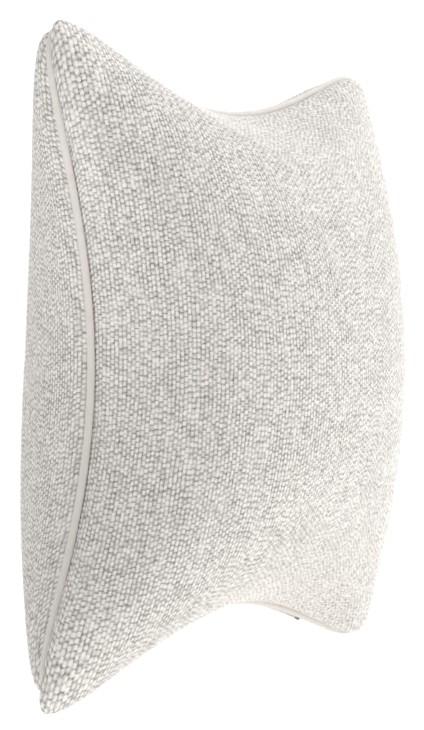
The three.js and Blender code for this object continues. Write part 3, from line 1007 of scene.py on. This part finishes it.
def sewn_panel(name, side, material, seed):
    """A panel as a closed shell: its nubby face, its seam allowance turned in beside the middle
    plane, and its smooth lining side one cloth further in.
    """
    grids, cloth, seams = filled(), settings("cloth"), settings("seams")
    u, v = grids["u"], grids["v"]
    n, m = cloth.columns * cloth.steps + 1, cloth.rows * cloth.steps + 1
    base = inset(grids[side], u, v, seams.edge)
    fine_u, fine_v = finer(grids["uv"], n, m).transpose(2, 0, 1)
    fine = stand_off(finer(base, n, m), fine_u, fine_v, side, seam_rise())
    height, tint, weave = nubs(n, m, seed)
    fade = smooth_step(to_edge(n, m) / NUB_FADE)
    face = fine + facing(fine, side) * (cloth.relief * fade * height)[..., None]

    flip = side == BACK
    surface = Surface()
    # The nub attribute sets the material's painted shade: the lower it is, the darker. It is scaled down
    # towards the seam, so more shade is painted there.
    numbers = surface.place(face, nub=height * (0.35 + 0.65 * fade), tint=tint)
    surface.patch(numbers, flip, Weave=weave, OFBake=atlas(0.77, 0.98, 0.01, 0.01, n, m))

    k = len(u)
    u_rim, v_rim = rim_of(u), rim_of(v)
    around, fine_around = rim_places(k, k), rim_places(n, m)
    counts = (np.stack([u, v], -1) + 1) / 2 * [cloth.columns, cloth.rows]
    raw = cloth.seam_width + seams.edge
    rings, maps, weaves = [], [], []
    out_and_in = ((SEAM_FOLD, 0), (SEAM_HALFWAY, 0), (raw, 0), (raw, 1), (SEAM_HALFWAY, 1))
    for depth, ply in (*out_and_in, (cloth.thickness, 1)):
        edge = levelled(inset(rim_of(base), u_rim, v_rim, depth), u_rim, v_rim)
        ring = stand_off(edge, u_rim, v_rim, side, seam_rise() + ply * cloth.thickness)
        maps.append(rim_strip(0.80 + 0.045 * len(rings), around))
        # An even middle value of the painted shade on the turned-in cloth.
        rings.append(surface.place(ring, nub=0.7 + 0 * around, tint=0.5 + 0 * around))
        weaves.append(rim_of(counts) * (1 - depth / (cloth.cut / 2)))
    sew_loops(
        surface,
        (rim_of(numbers), fine_around),
        (rings[0], around),
        flip,
        Weave=(rim_of(weave), weaves[0]),
        OFBake=(rim_strip(0.79, fine_around), maps[0]),
    )
    lining = base - facing(base, side) * cloth.thickness
    lining = stand_off(lining, u, v, side, seam_rise() + cloth.thickness)
    inner = surface.place(lining, nub=0.7 + 0 * u, tint=0.5 + 0 * u)
    rings.append(rim_of(inner))
    weaves.append(weaves[-1])
    maps.append(maps[-1] + [0.02, 0])
    loops, places = (np.stack([closed(row) for row in rows]) for rows in (rings, maps))
    places[:, -1] += [0, 0.7]
    surface.patch(loops, flip, Weave=np.stack([closed(row) for row in weaves]), OFBake=places)
    surface.patch(inner, not flip, Weave=counts, OFBake=atlas(0.2, 0.2, 0.79, 0.01, k, k))
    return surface.finish(name, material)


def piping_section(r):
    """The wrapping strip's corners, out from the seam line and forward: down one ply, round the
    cord at radius r, down the other ply, and back inside.
    """
    seams, deep = settings("seams"), -settings("cloth").seam_width
    half, slit = seams.gap / 2 + seams.wrap, seams.gap / 2
    opening = math.asin(half / seams.piping)
    angle = np.linspace(opening, 2 * math.pi - opening, 23)
    bore = seams.piping - seams.wrap
    opening = math.asin(slit / bore)
    back = np.linspace(2 * math.pi - opening, opening, 17)
    outer = np.stack([seams.piping - r * np.cos(angle), r * np.sin(angle)], 1)
    inner = np.stack([seams.piping - bore * np.cos(back), bore * np.sin(back)], 1)
    return np.concatenate([[[deep, half]], outer, [[deep, -half], [deep, -slit]], inner, [[deep, slit]]])


def insert_surface(side, edge, within):
    """The insert's face on a grid a little finer than the settled one, and its rise at the seam.

    It lies inside the cover along the normal, slightly rumpled, and its rim is drawn in by edge.
    """
    grids, seams, cloth = filled(), settings("seams"), settings("cloth")
    n = cloth.grid + 24
    grid = finer(grids[side], n, n)
    u, v = finer(grids["uv"], n, n).transpose(2, 0, 1)
    centre = middle(u, v)
    rng = np.random.default_rng(7 + side)
    rumple = RUMPLE * np.abs(spread(rng, n, n, 14) + 0.5 * spread(rng, n, n, 34))
    clear = cloth.thickness + INSERT_CLEAR + within + rumple
    grid = inset(grid - facing(grid, side) * clear[..., None], u, v, edge - 0.002)
    lift = np.clip(side * (grid[..., 1] - centre), 0, None)
    rise = seams.gap / 2 + within
    grid[..., 1] = centre + side * np.hypot(lift, rise)
    return grid, rise


def insert_shell(name, side, node, material):
    """A panel of the insert: the cover's form, drawn in past the raw edges, as a thin closed
    shell with its own seam allowance, slightly rumpled where the filling bunches.
    """
    edge = set_back(node)
    outer, rise = insert_surface(side, edge, 0.0)
    inner, _ = insert_surface(side, edge + INSERT_CLOTH, INSERT_CLOTH)
    n = len(outer)
    surface = Surface()
    flip = side == BACK
    top = surface.place(outer)
    even = np.linspace(0, 1, n) * settings("cloth").cut
    weave = np.stack(np.meshgrid(even, even, indexing="ij"), -1)
    surface.patch(top, flip, Threads=weave, OFBake=atlas(0.6, 0.98, 0.01, 0.01, n, n))
    u, v = rim_of(finer(filled()["uv"], n, n)).T
    numbers = [rim_of(top)]
    for depth, lift in ((INSERT_SEAM, 0.0), (INSERT_SEAM, INSERT_CLOTH), (INSERT_CLOTH, INSERT_CLOTH)):
        row = levelled(inset(rim_of(outer), u, v, depth), u, v)
        row[:, 1] += side * (rise + lift)
        numbers.append(surface.place(row))
    bottom = surface.place(inner)
    numbers.append(rim_of(bottom))
    around = np.append(rim_places(n, n), 4.0)[None] / 4
    down = np.linspace(0, 1, len(numbers))[:, None]
    places = np.stack(np.broadcast_arrays(0.63 + 0.07 * down, around * 0.9 + 0.05), -1)
    threads = np.stack(np.broadcast_arrays(around * 1.7, 0.02 * down), -1)
    surface.patch(np.stack([closed(row) for row in numbers]), flip, Threads=threads, OFBake=places)
    surface.patch(bottom, not flip, Threads=weave, OFBake=atlas(0.27, 0.6, 0.72, 0.01, n, n))
    return surface.finish(name, material)


def filling(name, material):
    """The filling: both of the insert's faces, further in, joined round their rims."""
    surface = Surface()
    rims = []
    for side, x in ((FRONT, 0.01), (BACK, 0.51)):
        grid, _ = insert_surface(side, set_back("insert_fill"), FILL_SET_IN)
        n = len(grid)
        numbers = surface.place(grid)
        rims.append(closed(rim_of(numbers)))
        flat = atlas(1.0, 1.0, 0.0, 0.0, n, n)
        surface.patch(numbers, side == BACK, Threads=flat, OFBake=atlas(0.48, 0.9, x, 0.01, n, n))
    around = np.append(rim_places(n, n), 4.0)[None] / 4
    strip = np.stack(np.broadcast_arrays(around, np.array([[0.93], [0.98]])), -1)
    surface.patch(np.stack(rims), False, Threads=strip, OFBake=strip)
    return surface.finish(name, material)


def zip_tape(side, name, material, half):
    """A tape: its mouth beside the coil, a bend, and the edge that turns in beside the seam."""
    zips = settings("zip")
    low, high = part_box("zip_tape_" + name)
    mouth, far = (y - ZIP_CENTRE[1] for y in ((high.y, low.y) if side == FRONT else (low.y, high.y)))
    halfway, inner = (mouth + far) / 2, far - side * zips.tape
    top, set_in, turn_in = zips.tape - zips.set_in, -zips.set_in, -zips.tape_turn
    section = [
        [top, mouth],
        [top, halfway],
        [top, far - side * TAPE_BEND],
        [top - TAPE_EDGE, far - side * 0.0003],
        [top - TAPE_BEND, far],
        [turn_in / 2, far],
        [turn_in, far],
        [turn_in, inner],
        [turn_in / 2, inner],
        [set_in - TAPE_EDGE, inner],
        [set_in, inner - side * TAPE_EDGE],
        [set_in, halfway],
        [set_in, mouth],
    ]
    rings = carried(*zip_line(0.0, half, 240), np.array(section))
    if side == BACK:
        rings = rings[:, ::-1]
    return tube("zip_tape_cloth_" + name, material, rings, 2 * half * zip_radius(), 0.035, False)


def zip_coil(side, name, material):
    """A coil: a wire wound in a helix along the zip's arc, half a turn off on the back tape."""
    zips = settings("zip")
    low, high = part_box("zip_coil_" + name)
    half = math.asin(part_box("zip_coil_front")[1].x / (zip_radius() - COIL_END))
    turns = round(2 * half * zip_radius() / zips.coil_pitch)
    steps = turns * COIL_STEPS
    line, out, forward = zip_line(zips.tape - zips.set_in + settings("seams").gap + zips.coil, half, steps)
    angle = np.linspace(0, 2 * math.pi * turns, steps) + (math.pi if side == BACK else 0)
    reach = zips.coil - COIL_WIRE
    beside = (low.y + high.y) / 2 - ZIP_CENTRE[1]
    line = line + forward * (beside + reach * np.cos(angle) * 0.98)[:, None]
    line = line + out * (reach * np.sin(angle))[:, None]
    span = 2 * math.pi * reach * turns
    return round_thread("zip_coil_wire_" + name, material, line, out, forward, COIL_WIRE, span, 6, False)


def zip_stitching(name, material, half):
    """The row of stitches that holds a tape's turned-in edge to the seam allowance."""
    low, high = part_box("zip_stitch_" + name)
    beside = (low.y + high.y) / 2 - ZIP_CENTRE[1]
    line, out, forward = zip_line(-settings("zip").tape_turn / 2, half, 1200)
    span = 2 * half * zip_radius()
    wave = np.linspace(0, 2 * math.pi * round(span / ZIP_STITCH), 1200)
    line = line + forward * (beside + STITCH_WAVE * np.cos(wave))[:, None]
    radius = settings("seams").thread * 0.36
    return round_thread("zip_stitching_" + name, material, line, out, forward, radius, span, 6, False)


def standing_for(piece, body, slot, *nodes):
    """Hangs a piece on the empty of the body that it rides on, and hides the CAD nodes that it stands for.
    """
    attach(piece, body)
    if nodes:
        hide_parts(*nodes)


def padded_piece(piece, body, slot, fill, *nodes):
    """Hangs a piece on the empty of the body that it rides on, and hides the CAD nodes that it stands for.
    """
    standing_for(piece, body, slot)
    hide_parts(*nodes)


# ---- Operators


class CUSHION_OT_fill_form(bpy.types.Operator):
    """Works out the filled form of both panels and settles their cloth"""

    bl_idname = "cushion.fill_form"
    bl_label = "Fill the form"

    def execute(self, context):
        cloth = settings("cloth")
        u, v = even_parameters(cloth.grid)
        centre = middle(u, v)
        grids = [pillow(u, v, side) for side in (FRONT, BACK)]
        for grid in grids:
            grid[..., 1] = centre + (grid[..., 1] - centre) * cloth.underfill
        grids = settled(*grids)
        front, back = (overhung(grid, side) for grid, side in zip(grids, (FRONT, BACK)))
        MADE["form"] = {"u": u, "v": v, "uv": np.stack([u, v], -1), FRONT: front, BACK: back}
        return {"FINISHED"}


class CUSHION_OT_cover(bpy.types.Operator):
    """Sews the front and back panels of nubby woven cloth"""

    bl_idname = "cushion.cover"
    bl_label = "Cover panels"

    def execute(self, context):
        for (side, word), seed in zip(SIDES, CLOTH_SEEDS):
            name = "cover_" + word
            cloth = woven_cloth_material(name + "_cloth", float(seed))
            panel = sewn_panel(name, side, cloth, seed)
            padded_piece(panel, "root", "woven_cloth", 0.9, name + "_panel")
        return {"FINISHED"}


class CUSHION_OT_piping(bpy.types.Operator):
    """Wraps the piping cord and carries it round the seam"""

    bl_idname = "cushion.piping"
    bl_label = "Piping"

    def execute(self, context):
        seams, colours = settings("seams"), settings("colours")
        line, out, forward, span = seam_loop()
        rng = np.random.default_rng(5)
        run = np.linspace(0, 2 * math.pi, len(line), endpoint=False)
        swell = sum(rng.uniform(0.3, 1) * np.sin(run * waves + rng.uniform(0, 6)) for waves in SWELLS)
        sections = np.stack([piping_section(seams.piping * (1 + SWELL * s)) for s in swell])
        rings = carried(line, out, forward, sections)
        # The strip's allowance is gathered in at the corners, so that it doesn't fold into itself
        gathered = (sections[..., 0] < -SEAM_HALFWAY) & (np.abs(out[:, 0] * out[:, 2])[:, None] > 0.12)
        rings = rings + np.where(gathered, GATHER, 0.0)[..., None] * (line[:, None] - rings)
        weave = plain_weave_material("piping_cloth", colours.piping, 0.00075)
        wrap = tube("piping_wrap", weave, rings, span, 2 * math.pi * seams.piping + 0.02)
        standing_for(wrap, "root", "piping_cloth", "piping_casing")

        about = np.linspace(0, 2 * math.pi, 12, endpoint=False)
        twist = run[:, None] * round(span / CORD_TURN) + about[None, :]
        bulge = seams.cord * (0.86 + 0.14 * np.abs(np.cos(CORD_PLIES * about / 2)))
        sections = np.stack([seams.piping + bulge * np.cos(twist), bulge * np.sin(twist)], -1)
        cotton = thread_material("piping_cord_cotton", colours.cotton, 0.0016)
        rings = carried(line, out, forward, sections)
        cord = tube("piping_cord", cotton, rings, span, 2 * math.pi * seams.cord)
        standing_for(cord, "root", "cotton", "piping_filler_cord")
        return {"FINISHED"}


class CUSHION_OT_seam_threads(bpy.types.Operator):
    """Stitches the seam on both sides and overlocks both raw edges"""

    bl_idname = "cushion.seam_threads"
    bl_label = "Seam threads"

    def execute(self, context):
        seams, cloth = settings("seams"), settings("cloth")
        thread = thread_material("sewing_thread", settings("colours").thread, 0.0009)
        for name, side, node in (
            ("cover_needle_stitches", FRONT, "cover_needle_thread"),
            ("cover_bobbin_stitches", BACK, "cover_bobbin_thread"),
        ):
            line, out, forward, span = allowance_loop(side, seams.line, cloth.thickness, 2400)
            wave = stitch_wave(len(line), span, seams.stitch)
            lift = seams.thread / 2 * (1.25 + 0.5 * np.cos(wave))
            line = line + side * forward * lift[:, None]
            piece = round_thread(name, thread, line, out, forward, seams.thread / 2, span)
            standing_for(piece, "root", "thread_and_tape", node)
        raw = seams.edge + cloth.seam_width + seams.gap
        half = cloth.thickness / 2
        for side, word in SIDES:
            line, out, forward, span = allowance_loop(side, raw, 0.0, 6000)
            angle = stitch_wave(len(line), span, OVERLOCK_TURN)
            line = line + side * forward * (half + half * 0.8 * np.sin(angle))[:, None]
            line = line + out * (half * 0.75 * np.cos(angle))[:, None]
            name = "cover_" + word + "_overlock"
            piece = round_thread(name + "ing", thread, line, out, forward, OVERLOCK_THREAD, span, 6)
            standing_for(piece, "root", "thread_and_tape", name)
        return {"FINISHED"}


class CUSHION_OT_insert(bpy.types.Operator):
    """Makes the cotton insert, its seam and its filling"""

    bl_idname = "cushion.insert"
    bl_label = "Insert"

    def execute(self, context):
        colours, seams = settings("colours"), settings("seams")
        cotton = plain_weave_material("insert_cotton", colours.cotton, 0.0006, slant=False)
        for side, word in SIDES:
            name, node = "insert_" + word, "insert_" + word + "_shell"
            padded_piece(insert_shell(name, side, node, cotton), "root", "cotton", 0.9, node)
        thread = thread_material("insert_thread", colours.cotton, 0.0009)
        line, out, forward, span = allowance_loop(BACK, set_back("insert_front_shell") + 0.003, 0.0, 2400)
        line[:, 1] -= seam_rise() - seams.gap * 1.5 - INSERT_CLOTH
        # The cover stands off for the zip, and the insert doesn't
        line[:, 1] = np.where(np.abs(line[:, 1]) < 0.006, line[:, 1], 0.0015)
        wave = stitch_wave(len(line), span, seams.stitch)
        line[:, 1] += seams.thread / 2 * (1.25 + 0.5 * np.cos(wave))
        seam = round_thread("insert_seam", thread, line, out, forward, seams.thread / 2, span)
        standing_for(seam, "root", "thread_and_tape", "insert_seam_thread")
        stuffing = filling("insert_filling", fibre_material())
        padded_piece(stuffing, "root", "fibre", 0.9, "insert_fill")
        return {"FINISHED"}


class CUSHION_OT_zip(bpy.types.Operator):
    """Sets the zip into the bottom seam: tapes, coils, stitching, stops, slider and pull"""

    bl_idname = "cushion.zip"
    bl_label = "Zip"

    def execute(self, context):
        colours = settings("colours")
        tape_cloth = plain_weave_material("zip_tape_cloth", colours.thread, 0.0007, slant=False)
        nylon = solid_material("zip_nylon", colours.nylon, 4000.0, 0.4)
        thread = thread_material("zip_thread", colours.thread, 0.0009)
        half = math.asin(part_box("zip_tape_front")[1].x / (zip_radius() + settings("zip").tape_turn))
        for side, name in SIDES:
            tape = zip_tape(side, name, tape_cloth, half)
            standing_for(tape, "root", "thread_and_tape", "zip_tape_" + name)
            coil = zip_coil(side, name, nylon)
            standing_for(coil, "root", "coil_nylon", "zip_coil_" + name)
            stitches = zip_stitching(name, thread, half)
            standing_for(stitches, "root", "thread_and_tape", "zip_stitch_" + name)
        zinc = solid_material("zinc", colours.zinc, 3000.0, 0.34, 1.0, (1.0, 1.0, 0.2))
        for node in ("zip_top_stop_front", "zip_top_stop_back", "zip_bottom_stop"):
            finish_node(node, 0.00025, zinc)
        finish_node("zip_slider_body", 0.0004, zinc)
        finish_node("zip_pull_tab", 0.0003, zinc)
        return {"FINISHED"}


class CUSHION_OT_label(bpy.types.Operator):
    """Finishes the care label in satin"""

    bl_idname = "cushion.label"
    bl_label = "Care label"

    def execute(self, context):
        satin = solid_material("label_satin", settings("colours").label, 900.0, 0.5, 0.0, (1.0, 12.0, 12.0))
        finish_node("care_label", 0.0001, satin)
        return {"FINISHED"}


class CUSHION_OT_studio(bpy.types.Operator):
    """Sets up the white floor, the soft lights and the camera"""

    bl_idname = "cushion.studio"
    bl_label = "Studio"

    def execute(self, context):
        studio, scene = settings("studio"), context.scene
        scene.view_settings.view_transform = "Standard"
        scene.world = white_world()
        floor = white_floor()
        scene.collection.objects.link(floor)

        aim = Vector((0, 0, CENTRE_Z))
        for name, power, size, place in (
            ("key", studio.key, 1.2, (2.4, -2.2, 2.0)),
            ("top", studio.fill, 2.0, (0.2, 0.3, 2.6)),
        ):
            light = bpy.data.lights.new(name, "AREA")
            give(light, shape="SQUARE", size=size, energy=power)
            lamp = bpy.data.objects.new(name, light)
            lamp.location = place
            lamp.rotation_euler = (aim - lamp.location).to_track_quat("-Z", "Y").to_euler()
            scene.collection.objects.link(lamp)

        flat = math.cos(studio.elevation)
        across, away = math.sin(studio.azimuth) * flat, -math.cos(studio.azimuth) * flat
        back = Vector((across, away, math.sin(studio.elevation)))
        right = (-back).cross(Vector((0, 0, 1))).normalized()
        up = right.cross(-back)
        turned = Matrix.Rotation(studio.roll, 3, back)
        right, up = turned @ right, turned @ up
        lens = bpy.data.cameras.new("camera")
        give(lens, sensor_fit="VERTICAL", sensor_height=24.0, lens=studio.lens * 24.0, clip_end=200.0)
        camera = bpy.data.objects.new("camera", lens)
        at = aim + right * studio.aim[0] + up * studio.aim[1] + back * studio.distance
        camera.matrix_world = Matrix.Translation(at) @ Matrix((right, up, back)).transposed().to_4x4()
        scene.collection.objects.link(camera)
        scene.camera = camera
        return {"FINISHED"}


OPERATORS = (
    CUSHION_OT_studio,
    CUSHION_OT_fill_form,
    CUSHION_OT_cover,
    CUSHION_OT_piping,
    CUSHION_OT_seam_threads,
    CUSHION_OT_insert,
    CUSHION_OT_zip,
    CUSHION_OT_label,
)


class CUSHION_PT_tools(bpy.types.Panel):
    """Lists the cushion's pieces and their sizes"""

    bl_idname = "CUSHION_PT_tools"
    bl_label = "Piped cushion"
    bl_space_type = "VIEW_3D"
    bl_region_type = "UI"
    bl_category = "Cushion"

    def draw(self, context):
        for operator in OPERATORS:
            self.layout.operator(operator.bl_idname)
        for name, group in GROUPS.items():
            box = self.layout.box()
            box.label(text=name.replace("_", " ").capitalize())
            for key in group.__annotations__:
                box.prop(getattr(context.scene, name), key)


def register():
    for group in (*GROUPS.values(), *OPERATORS, CUSHION_PT_tools):
        bpy.utils.register_class(group)
    for name, group in GROUPS.items():
        setattr(bpy.types.Scene, name, PointerProperty(type=group))


def unregister():
    for name in GROUPS:
        delattr(bpy.types.Scene, name)
    for group in reversed((*GROUPS.values(), *OPERATORS, CUSHION_PT_tools)):
        bpy.utils.unregister_class(group)


def main():
    register()
    for operator in OPERATORS:
        group, name = operator.bl_idname.split(".")
        getattr(getattr(bpy.ops, group), name)()


if __name__ == "__main__":
    main()
